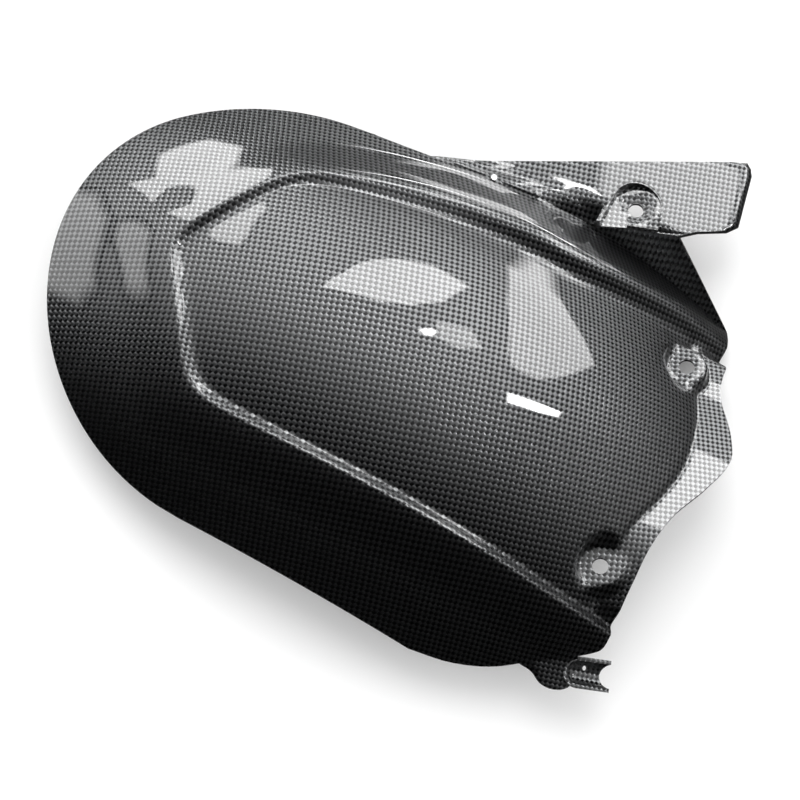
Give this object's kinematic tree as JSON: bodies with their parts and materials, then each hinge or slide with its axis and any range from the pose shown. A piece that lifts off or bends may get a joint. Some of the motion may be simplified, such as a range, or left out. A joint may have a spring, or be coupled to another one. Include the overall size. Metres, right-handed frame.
{
  "type": "rear hugger mudguard",
  "caption": "Glossy woven carbon fibre hugger mudguard with a sunken panel, a chain guard plate and a hose guide.",
  "frame": {"origin": "bottom centre of the bounding box", "axes": "+X towards the mounting end at the swingarm, +Y towards the chain side, +Z away from the wheel"},
  "size_m": [0.3596, 0.324, 0.093],
  "materials": {
    "carbon": "clear lacquer over a plain woven black carbon fibre"
  },
  "bodies": {
    "root": {"hugger": "carbon"}
  },
  "joints": []
}
